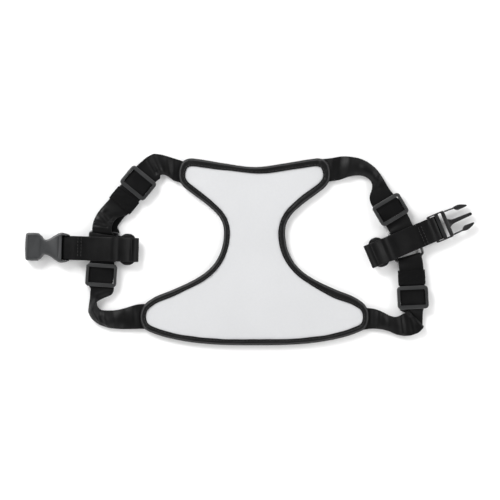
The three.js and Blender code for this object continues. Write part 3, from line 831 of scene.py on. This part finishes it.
# ---- straps ----
# Each row: one edge's x and y, the other's, the middle's height, and how far the webbing arches up.
LEFT_NECK_RUN = [
    (-69.2, 90.8, -69.2, 66.7, 3.15, 0), (-73.3, 92.3, -72.8, 69, 3.2, 0.3),
    (-78.5, 93.9, -78.2, 70.6, 3.4, 1), (-85.2, 96, -84.7, 75, 3.6, 1.8),
    (-92.4, 97.9, -89.2, 77, 4.2, 1.8), (-99.8, 98.3, -92.3, 76.2, 5.2, 0.6),
    (-105.5, 95.7, -92.7, 73.5, 5.2, 0.2), (-111.4, 91, -95.4, 71.1, 5.2, 0),
    (-117, 85.5, -97.9, 69.4, 5.3, 0), (-124.9, 76.3, -105.7, 60.5, 5.4, 0),
    (-132.6, 67.1, -113.3, 51.2, 5.3, 0), (-138.9, 59.6, -120.3, 43.7, 5.3, 0),
    (-144.3, 52.8, -124.9, 37, 5.3, 0.1), (-151.1, 45.1, -130.4, 34.8, 5.6, 1.2),
    (-157.4, 37.2, -136.8, 32.1, 6, 1.8), (-161.3, 29.3, -140.9, 27.6, 6.2, 1.6),
]  # fmt: skip
LEFT_NECK_BACK = [
    (-161.7, 26.6, -136.8, 23.1, 1.3, 0), (-158.4, 35, -133.1, 29, 1.7, 0.4),
    (-151.4, 45.1, -129, 34.2, 1.9, 0.2), (-144.3, 52.8, -124.9, 37, 1.9, 0),
    (-132.6, 67.1, -113.3, 51.2, 1.9, 0), (-126, 75.3, -106.7, 59.4, 1.9, 0),
]  # fmt: skip
LEFT_GIRTH_RUN = [
    (-107.3, -81.9, -107.3, -56.2, 3.15, 0), (-111.4, -82, -111.4, -56.2, 3.2, 0.2),
    (-117.6, -82.1, -117.8, -57, 3.5, 0.8), (-127.9, -82.2, -128.3, -60.2, 3.8, 2.2),
    (-138.6, -81.9, -139.9, -62.7, 3.4, 3.4), (-147.5, -80.5, -148.1, -62.8, 3, 4.2),
    (-157.2, -76.7, -154.5, -61.8, 2.6, 5.2), (-163.9, -71, -157.2, -58.9, 2.4, 6.6),
    (-167, -64.5, -157.9, -56, 2.4, 7.2), (-166.4, -56.8, -157.4, -53.4, 3, 5.2),
    (-165.4, -50.7, -151.6, -50.5, 4.3, 1.6), (-165, -44.4, -142.3, -46, 5.1, 0.3),
    (-165.2, -38.9, -140.5, -38.9, 5.3, 0),
]  # fmt: skip
RIGHT_NECK_RUN = [
    (70.9, 93.2, 70.9, 68.6, 3.15, 0), (75.5, 93.4, 75.5, 69.2, 3.2, 0.2),
    (83.2, 94.1, 83.2, 70.2, 3.5, 0.8), (94.8, 96, 92.5, 71.7, 3.9, 1.4),
    (106.2, 95.2, 102.3, 75, 4.1, 2.6), (115.2, 93.1, 110.8, 76.2, 4, 3.6),
    (123.4, 88.7, 118, 75, 3.8, 4.4), (130.1, 83, 123, 71.7, 3.6, 4.8),
    (135.4, 75.8, 125.5, 67.2, 4.3, 2.2), (139.7, 68.6, 125.2, 61.4, 4.9, 0.4),
    (143.4, 62.4, 123, 54.6, 5.2, 0.1), (147, 57.8, 123.8, 48.4, 5.3, 0.1),
    (150.3, 53.7, 127.6, 42.4, 5.3, 0),
]  # fmt: skip
RIGHT_GIRTH_RUN = [
    (116.2, -60.4, 116.2, -83, 3.15, 0), (121.3, -60.4, 121.3, -82.2, 3.2, 0.3),
    (128.5, -61.3, 128, -81.8, 3.6, 1.2), (136.8, -64.5, 135.8, -82.6, 3.8, 2),
    (144, -68.2, 143.1, -84.5, 3.8, 2), (150.6, -69.4, 151.7, -88, 3.8, 1.4),
    (155.3, -67.6, 160, -89.2, 4.2, 0.9), (158.8, -65.7, 168.2, -88, 4.8, 0.5),
    (161.3, -64.5, 175.1, -84.5, 5.4, 0.2), (161.9, -64, 177.9, -81.2, 5.2, 0),
    (160.7, -63.9, 177.8, -79.5, 3.9, 0), (157.6, -63.8, 177.8, -75.4, 2.9, 0),
    (154.9, -63, 178, -69, 3.4, 0), (154.3, -61, 178.4, -62.6, 4.7, 0),
]  # fmt: skip
# The line through each side's two seams.
SEAMS = {"left": ((-76.2, 84.2), (-116.0, -69.2)), "right": ((85.2, 82.2), (125.1, -70.8))}
LEFT_NECK_SLIDER = (-115.3, 68.4)
LEFT_GIRTH_SLIDER = (-153.479, -26.527, 86)
RIGHT_NECK_SLIDER = (144.5, 41.1, -59.2)
RIGHT_GIRTH_SLIDER = (167.515, -49.42, 92.81)
TAIL_END = 1.5  # how far past its slider's middle a strap's end comes


def ring_bar(ring, side):
    """The middle of the ring's bar on its +Y side (1) or -Y side (-1), and the way out of the ring there."""
    out = heading(ring[2] + 90) * side
    return np.array(ring[:2]) + out * RING_HALF, out


def strap(side, run, rows, creases):
    """A strap's webbing, built from its rows in place of the strap's CAD node. The way out across its side's
    seam line is worked out, but nothing uses it.
    """
    webbing = ribbon(f"{side}_{run}_webbing", rows, creases=creases)
    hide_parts(f"{side}_{run}_strap")
    (x0, y0), (x1, y1) = SEAMS[side]
    middle = np.array([(x0 + x1) / 2, (y0 + y1) / 2])
    out = np.array([y1 - y0, x0 - x1])
    out /= np.linalg.norm(out)
    if out[0] * middle[0] < 0:
        out = -out
    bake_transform(webbing)


def build_straps():
    """Each strap runs from its seam through its slider, round its ring's bar and back under itself."""
    bar, out = ring_bar(LEFT_RING, 1)
    left_side = heading(LEFT_RING[2] + 180)
    rows = widened(edge_rows(LEFT_NECK_RUN), LEFT_NECK_SLIDER, 13)
    rows += bar_turn(bar + left_side * 1.2, left_side * 11.4, -out, skew=(-1.6, 4.8))
    rows += edge_rows(LEFT_NECK_BACK)
    creases = [
        (-100.5, 97.5, -92.4, 79, 2.3, 1.7), (-104.9, 91.5, -97.3, 79.5, 2.1, -1.9),
        (-86, 93, -83.5, 77, 2.6, 0.8), (-78.5, 91, -79, 72.5, 2.2, -0.7), (-95, 80, -88, 76.5, 1.4, -0.8),
        (-153, 38, -144.3, 27.5, 2, 1.4), (-144.3, 27.5, -139.5, 32, 1.5, 1),
        (-161.5, 25.6, -147.5, 23.6, 1.2, -1.3), (-157, 44, -150, 41, 2.4, 1),
        (-158.5, 31, -152, 27.5, 1.8, 0.8),
    ]  # fmt: skip
    strap("left", "neck", rows, creases)

    bar, out = ring_bar(LEFT_RING, -1)
    rows = edge_rows(LEFT_GIRTH_RUN)
    stations = [(-11, HIGH_Z, 0), (0, 5.4, 0), (9, HIGH_Z, 0), (12.5, 5.6, 0)]
    rows += rows_across(LEFT_GIRTH_SLIDER, stations, SLOT_HALF)
    rows += bar_turn(bar, left_side * BAR_HALF, -out)
    rows += rows_across(LEFT_GIRTH_SLIDER, [(10, LOW_Z, 0), (4, LOW_Z, 0), (-TAIL_END, LOW_Z, 0)])
    creases = [
        (-150.8, -63.5, -147.3, -77, 2.6, 1.9), (-156, -66, -151, -79, 2.2, -0.9),
        (-162.4, -48, -162.4, -56, 1.1, 0.4), (-161.4, -64, -156.2, -73.4, 1, 0.9),
        (-156.2, -73.4, -146.5, -78.6, 1, 0.9), (-141, -64, -139.5, -81, 3, -1),
        (-121, -59, -119.5, -80, 2.8, 0.9), (-128, -61, -130, -81, 3, -0.7),
        (-113, -58, -112, -81, 1.8, -0.6), (-158.5, -46.4, -142, -42, 1.5, 0.5),
        (-157, -50.5, -146, -47.5, 1.6, -0.7),
    ]  # fmt: skip
    strap("left", "girth", rows, creases)

    bar, out = ring_bar(RIGHT_RING, 1)
    rows = widened(edge_rows(RIGHT_NECK_RUN), RIGHT_NECK_SLIDER, 14)
    rows += rows_across(RIGHT_NECK_SLIDER, [(-5, 5.35, 0), (0, 5.4, 0), (9, HIGH_Z, 0)], SLOT_HALF)
    rows += rows_across(RIGHT_NECK_SLIDER, [(16, 5.2, 0)])
    rows += bar_turn(bar, heading(RIGHT_RING[2]) * BAR_HALF, -out)
    rows += rows_across(RIGHT_NECK_SLIDER, [(16, LOW_Z, 0), (8, LOW_Z, 0), (-TAIL_END, LOW_Z, 0)])
    creases = [
        (103, 95, 99.5, 73, 4, 1.3), (93, 95, 91, 73, 3.6, -0.8), (85.5, 93, 85, 72, 3, 0.5),
        (78, 92, 78.5, 71, 2, -0.5), (113.5, 92, 110, 78, 4, -0.9), (124.5, 73.5, 131.5, 64, 2, -0.8),
        (121, 66, 129.5, 72.5, 1.8, 0.5), (134, 75, 130, 66, 2.2, 1),
    ]  # fmt: skip
    strap("right", "neck", rows, creases)

    bar, out = ring_bar(RIGHT_RING, -1)
    rows = edge_rows(RIGHT_GIRTH_RUN)
    rows += rows_across(RIGHT_GIRTH_SLIDER, [(-9, HIGH_Z, 0), (0, 5.4, 0), (10, HIGH_Z, 0)], SLOT_HALF)
    rows += rows_across(RIGHT_GIRTH_SLIDER, [(20, HIGH_Z, 0), (30, 5.4, 0)])
    rows += bar_turn(bar, heading(RIGHT_RING[2] + 180) * BAR_HALF, -out)
    stations = [(30, 1.8, 0), (20, LOW_Z, 0), (8, LOW_Z, 0), (-TAIL_END, LOW_Z, 0)]
    rows += rows_across(RIGHT_GIRTH_SLIDER, stations)
    creases = [
        (161.3, -63.9, 178.5, -82, 1.1, 1.5), (155, -67, 157.5, -86, 2.8, 2),
        (165.5, -71, 169, -86, 2.6, -1.3), (143, -67, 143.5, -85, 3.4, -1.3),
        (133, -62, 131.5, -82, 2.8, 0.9), (124, -61, 123.5, -82, 2, -0.6),
    ]  # fmt: skip
    strap("right", "girth", rows, creases)


# ---- keepers ----
def sleeve(name, place, length, half_width, low, high, material, flat_to, wrinkle):
    """A band round a strap: x runs along the strap, and the band goes round in y and z. Beyond flat_to from
    the middle the band's edges draw together, where it is squeezed into a round end."""
    thick = 1.1
    corner = 0.5
    turns = 96
    outer = []
    for k in range(turns):
        a = 2 * math.pi * k / turns
        c, s = math.cos(a), math.sin(a)
        y = half_width * math.copysign(abs(c) ** corner, c)
        z = (low + high) / 2 + (high - low) / 2 * math.copysign(abs(s) ** corner, s)
        outer.append((y, z))
    outer = np.array(outer)
    _, normal = way_and_side(outer)
    at = distances(outer)
    verts, uvs = [], []
    for k in range(turns):
        long = length / 2 * (1 + 0.05 * wobble(at[k], 0, 0, 12.0, len(name)))
        if flat_to:
            u = max(0.0, (abs(outer[k][0]) - flat_to) / (half_width - flat_to))
            long *= math.sqrt(max(0.08, 1 - 0.92 * u * u))
        for v, face in SECTION:
            inward = thick / 2 - thick / 2 * edge_thickness(v) * face - 0.12 * (1 - abs(v))
            if face > 0 and outer[k][1] > (low + high) / 2:
                inward -= wrinkle * wobble(v * long + 0.5 * outer[k][0], outer[k][0] * 0.3, 0, 3.0, 4.4)
            p = outer[k] - normal[k] * inward
            verts.append((v * long, p[0], p[1]))
            uvs.append((v * long, at[k]))
    return new_object(name, placed(verts, place), tube_faces(turns, len(SECTION), True), material, uvs=uvs)


# Place, length, half-width, lowest and highest point.
LOOSE_KEEPERS = {
    "left_neck": ((-129.835, 50.704, -129.4), 15.6, 13.75, 0.05, 7.25),
    "right_girth": ((166.513, -29.045, -87.19), 15.4, 13.9, 0.05, 7.25),
}
BELT_KEEPERS = {
    "left": ((-126.4, 0.0, -1.8), 15.6, 16.1, 0.75, 7.75),
    "right": ((132.6, -2.9, -160), 14.5, 15.6, 0.75, 7.75),
}


def build_keepers():
    """Wrinkled elastic round a neck and a girth strap, and webbing with round ends at each belt's fold."""
    for strap_name, shape in LOOSE_KEEPERS.items():
        band = sleeve(f"{strap_name}_elastic", *shape, ELASTIC, None, 0.25)
        stands_for(band, f"{strap_name}_keeper", f"{strap_name}_loop")
    for side, shape in BELT_KEEPERS.items():
        band = sleeve(f"{side}_belt_elastic", *shape, WEBBING, 10.5, 0.0)
        stands_for(band, f"{side}_belt_keeper", f"{side}_side")


# ---- belts ----
# Each row: distance from the fold, height, arch. The belt rises over its keeper, dips, and rises over the
# ring.
LEFT_BELT_RISE = [
    (2.5, 10.6, 0.3), (6, 11.3, 0.5), (9, 10.2, 0.5), (12, 9.3, 0.4), (16, 8.8, 0.2), (19, 9, 0.1),
    (22, 10.6, 0.1), (25, 11.6, 0.2), (29, 11, 0.3), (34, 10.2, 0.3), (41, 9.7, 0.2), (47, 9.1, 0.1),
    (52, 8.6, 0), (57, 8.6, 0), (63, 9.2, 0), (67, 8.6, 0),
]  # fmt: skip
RIGHT_BELT_RISE = [
    (2.5, 10.4, 0.3), (6, 11.5, 0.6), (10, 11, 0.7), (14, 9.7, 0.5), (17.5, 8.8, 0.2), (20.5, 9.4, 0.1),
    (24, 11.4, 0.3), (29, 11.7, 0.5), (35, 11, 0.5), (43, 9.9, 0.3), (51, 9, 0.1), (57, 8.4, 0),
    (61, 8.7, 0), (65, 9.5, 0), (67.5, 9.3, 0),
]  # fmt: skip
TURN_REACH = 5.0  # where the fold's piece meets the run's
BELT_STITCH_ROWS = (57.2, 60.6)


def belt_lower(name, side, ring, inboard_turn, reach, turn_at, node):
    """The hidden run: round the ring's inboard bar, with its two layers going on towards the fold."""
    bar = np.array(ring[:2]) + heading(inboard_turn) * RING_HALF
    place = (bar[0], bar[1], inboard_turn)
    stations = [(turn_at, 6.0, 0), (8, 6.0, 0), (3, 6.0, 0)]
    stations += half_turn(0, RING_Z, RING_LOOP, RING_LOOP, 0.5, 5)
    stations += [(4, 2.2, 0), (8, 3.8, 0), (12, 4.4, 0), (reach - 1, 4.5, 0)]
    belt = ribbon(name, rows_across(place, stations, BACK_RUN_HALF), roughen=0.05)
    stands_for(belt, node, side)


def belt_upper(side, fold, rise, node):
    """The fold and the visible run, in two pieces: the fold's piece stays where it is built, and the run goes
    with the belt.
    """
    nose = half_turn(0, FOLD_Z, FOLD_RADIUS, FOLD_RADIUS, -0.5, -6)
    loop = half_turn(BELT_LENGTH, BUCKLE_Z, LOOP_REACH, BAR_LOOP, 0.5, -6)
    lower = [(9.0, 6.0, 0), (5.0, 6.0, 0), (2.0, 6.0, 0)]
    under = [(67.5, 4.6, 0), (63.5, 6.6, 0), (59, 7.2, 0), (55.5, 7.3, 0)]
    along = [row[0] for row in rise]
    heights = [row[1] for row in rise]
    start = (TURN_REACH, np.interp(TURN_REACH, along, heights), 0.4)
    first = [row for row in rise if row[0] < TURN_REACH]
    rest = [row for row in rise if row[0] > TURN_REACH]
    turn_rows = rows_across(fold, lower + nose + first + [start], BELT_HALF)
    turn = ribbon(f"{side}_belt_turn", turn_rows, step=0.5, roughen=0.04)
    run_rows = rows_across(fold, [start] + rest + loop + under, BELT_HALF)
    run = ribbon(f"{side}_belt_run", run_rows, roughen=0.06)
    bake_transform(turn)
    stands_for(run, node, f"{side}_belt")
    rows = []
    for x in BELT_STITCH_ROWS:
        z = np.interp(x, along, heights) + WEB_THICK / 2
        line = placed([(x, y) for y in np.linspace(-11.6, 11.6, 24)], fold)
        rows.append((np.column_stack([line, np.full(24, z + 0.06)]), np.tile([0.0, 0.0, 1.0], (24, 1))))
    thread = stitches(f"{side}_belt_stitches", rows)
    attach(thread, f"{side}_belt")


# The doubled layer that shows past the left belt's upper edge: distance from the fold, height.
DOUBLER_RISE = [(20.0, 7.9), (24.0, 8.3), (30.0, 8.5), (36.0, 8.4), (42.0, 8.0), (48.0, 7.7)]


def belt_doubler():
    rows = []
    for x, z in DOUBLER_RISE:
        (ax, ay), (bx, by) = placed([(x, -16.9 + 0.13 * (48 - x)), (x, 7.0)], LEFT_FOLD)
        rows.append((ax, ay, z, bx, by, z, 0))
    doubler = ribbon("left_belt_doubler", rows, roughen=0.1)
    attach(doubler, "left_belt")


def build_belts():
    right_inboard = RIGHT_RING[2] + 180
    belt_lower("left_belt_back_run", "left_side", LEFT_RING, LEFT_RING[2], 16.3, 12.0, "left_belt_inner")
    belt_lower("right_belt_back_run", "right_side", RIGHT_RING, right_inboard, 20.8, 16.6, "right_belt_inner")
    belt_upper("left", LEFT_FOLD, LEFT_BELT_RISE, "left_belt_outer")
    belt_doubler()
    belt_upper("right", RIGHT_FOLD, RIGHT_BELT_RISE, "right_belt_outer")


# ---- hardware ----
def cad_copy(name, node, material, bevel=0.0, finer=0):
    """A finished piece from a CAD node's own shape: its flat faces joined up and its edges rounded over."""
    source = frame["nodes"][node]
    mesh = source.data.copy()
    bm = bmesh.new()
    bm.from_mesh(mesh)
    bmesh.ops.remove_doubles(bm, verts=bm.verts, dist=1e-6)
    if bevel:
        bmesh.ops.dissolve_limit(bm, angle_limit=math.radians(0.6), verts=bm.verts, edges=bm.edges)
    bm.to_mesh(mesh)
    bm.free()
    mesh.materials.clear()
    mesh.materials.append(material)
    piece = bpy.data.objects.new(name, mesh)
    SCENE.collection.objects.link(piece)
    if bevel:
        bevel_edges(piece, bevel, 3, 30)
    if finer:
        subdivide(piece, finer)
    shade(piece)
    stands_for(piece, node, source.parent.name.replace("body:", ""))


def shade(piece):
    """Smooth faces, with the edges over 38 degrees left sharp."""
    piece.data.polygons.foreach_set("use_smooth", [True] * len(piece.data.polygons))
    bm = bmesh.new()
    bm.from_mesh(piece.data)
    for e in bm.edges:
        e.smooth = len(e.link_faces) == 2 and e.calc_face_angle(0) < math.radians(38)
    bm.to_mesh(piece.data)
    bm.free()


# Half of the socket's outline, from its strap bar to its mouth: a smooth waist, then the mouth's end.
FEMALE_WAIST = [
    (-2.4, 12.6), (1.9, 14.7), (7.8, 15.3), (12.4, 13), (17, 9.9), (20.6, 8.1), (24.4, 7.9), (27.4, 11.2),
    (30.6, 14.2),
]  # fmt: skip
FEMALE_END = [(36.0, 14.5), (41.2, 14.3), (42.5, 13.6), (43.2, 12.4), (43.6, 7.0), (43.7, 2.5)]
# Its rounded lower and upper edges: how far in the outline is at each height.
FEMALE_LEVELS = [
    (1.3, 0), (0.5, 0.35), (0.12, 0.9), (0, 1.7), (0, 9.3), (0.15, 10.1), (0.55, 10.8), (1.2, 11.3),
    (1.9, 11.5),
]  # fmt: skip
FEMALE_CUTS = [
    (25.5, 46, -12.3, 12.3, 2.4, 9.1),  # the mouth
    (11, 27, -4.2, 4.2, 2.4, 9.1),  # the prong's guide
    (-6, 6.3, -13, 13, -1, 13),  # the strap's window
    (27.8, 40.6, -11.2, 11.2, 11.05, 12.5),  # the shallow field on top
    (8.6, 10.2, -10.5, 10.5, 11.0, 12.5),  # the groove across the top
]
FEMALE_BAR_RADIUS = 1.6
FEMALE_BAR_END = 13.6


def box_mesh(x0, x1, y0, y1, z0, z1):
    corners = [(x, y, z) for z in (z0, z1) for x, y in ((x0, y0), (x1, y0), (x1, y1), (x0, y1))]
    faces = [(3, 2, 1, 0), (4, 5, 6, 7), (0, 1, 5, 4), (1, 2, 6, 5), (2, 3, 7, 6), (3, 0, 4, 7)]
    return new_object("cutter", corners, faces, BUCKLE_PLASTIC, smooth=False)


def combine(piece, tool, operation):
    m = piece.modifiers.new("combine", "BOOLEAN")
    m.operation = operation
    m.object = tool
    m.solver = "EXACT"
    apply_modifiers(piece)
    bpy.data.objects.remove(tool)


def female_half():
    """The buckle's socket, made round its strap bar and then put at the end of the left belt."""
    waist = smooth_rows([(x, y, 0, x, y, 0) for x, y in FEMALE_WAIST], 0.9)[:, :2]
    upper = np.vstack([waist, FEMALE_END])
    edge = np.vstack([upper, upper[::-1] * [1, -1]])
    _, inward = way_and_side(edge)
    verts = []
    for inset, z in FEMALE_LEVELS:
        verts += [(x, y, z) for x, y in edge + inward * inset]
    body = new_object("buckle_socket", verts, tube_faces(len(FEMALE_LEVELS), len(edge)), BUCKLE_PLASTIC)
    for box in FEMALE_CUTS:
        combine(body, box_mesh(*box), "DIFFERENCE")
    round_bar = []
    for y in (-FEMALE_BAR_END, FEMALE_BAR_END):
        for a in np.linspace(0, 2 * math.pi, 25)[:-1]:
            z = BUCKLE_Z + FEMALE_BAR_RADIUS * math.sin(a)
            round_bar.append((FEMALE_BAR_RADIUS * math.cos(a), y, z))
    combine(body, new_object("bar", round_bar, tube_faces(2, 24), BUCKLE_PLASTIC), "UNION")
    bevel_edges(body, 0.32, 2, 40)
    (bx, by) = placed([(BELT_LENGTH, 0)], LEFT_FOLD)[0]
    write_mm(body, placed(read_mm(body), (bx, by, LEFT_FOLD[2])))
    shade(body)
    stands_for(body, "buckle_female", "female_buckle")


def build_hardware():
    for node in ("left_neck_slider", "left_girth_slider", "right_neck_slider", "right_girth_slider"):
        cad_copy(f"{node}_moulded", node, SLIDER_PLASTIC, bevel=0.5)
    for node in ("left_ring", "right_ring"):
        cad_copy(f"{node}_coated", node, RING_COATING, finer=1)
    cad_copy("buckle_plug", "buckle_male", PLUG_PLASTIC, bevel=0.35)
    cad_copy("buckle_plug_arm_front", "buckle_arm_front", PLUG_PLASTIC, bevel=0.3)
    cad_copy("buckle_plug_arm_rear", "buckle_arm_rear", PLUG_PLASTIC, bevel=0.3)
    female_half()


# ---- stage, light and camera ----
FLOOR_Z = -0.0004
# Name, place, size, power: every light looks at the middle of the frame.
LIGHTS = [
    ("key", (-0.85, 1.05, 1.0), 0.8, 22),
    ("right", (1.5, 0.5, 1.0), 0.8, 10),
    ("front", (0.4, -1.6, 1.0), 1.0, 8),
    ("left", (-1.6, -0.4, 0.9), 1.0, 6),
]
# The sky is bright low down and dim overhead, so that flat black cloth stays dark and its creases show.
SKY_FADE = (("From Min", 0.35), ("From Max", 0.9), ("To Min", 1.45), ("To Max", 0.12))
SENSOR = 36
CAMERA_PLACE = (-0.0002, -0.0006, 2.2)
PANEL_TOP = 0.006
VIEW_WIDTH = 0.515  # what the view takes in at the panel's top


def build_stage():
    bpy.ops.mesh.primitive_plane_add(size=6, location=(0, 0, FLOOR_Z))
    floor = bpy.context.object
    floor.name = "floor"
    s = Shader("floor_paper", (0.95, 0.95, 0.95), 0.9, Specular_IOR_Level=0.1)
    s.color(s.mix(s.noise(3.0), (0.94, 0.94, 0.94), (0.955, 0.955, 0.955)))
    floor.data.materials.append(s.material)


def area_light(name, location, size, power):
    data = bpy.data.lights.new(name, "AREA")
    data.shape = "DISK"
    data.size = size
    data.energy = power
    light = bpy.data.objects.new(name, data)
    light.location = location
    light.rotation_euler = (-Vector(location)).to_track_quat("-Z", "Y").to_euler()
    SCENE.collection.objects.link(light)


def build_light_and_camera():
    world = bpy.data.worlds.new("studio")
    world.use_nodes = True
    sky = world.node_tree
    background = sky.nodes["Background"]
    background.inputs["Color"].default_value = (1, 1, 1, 1)
    split = sky.nodes.new("ShaderNodeSeparateXYZ")
    sky.links.new(sky.nodes.new("ShaderNodeTexCoord").outputs["Generated"], split.inputs[0])
    fade = sky.nodes.new("ShaderNodeMapRange")
    sky.links.new(split.outputs["Z"], fade.inputs["Value"])
    for socket, value in SKY_FADE:
        fade.inputs[socket].default_value = value
    sky.links.new(fade.outputs["Result"], background.inputs["Strength"])
    SCENE.world = world
    for light in LIGHTS:
        area_light(*light)
    data = bpy.data.cameras.new("camera")
    data.sensor_width = SENSOR
    data.lens = SENSOR * (CAMERA_PLACE[2] - PANEL_TOP) / VIEW_WIDTH
    data.clip_end = 20
    camera = bpy.data.objects.new("camera", data)
    camera.location = CAMERA_PLACE
    SCENE.collection.objects.link(camera)
    SCENE.camera = camera
    SCENE.view_settings.view_transform = "Standard"


build_stage()
build_light_and_camera()
face, lining, foam = build_panel()
build_straps()
build_keepers()
build_belts()
build_hardware()
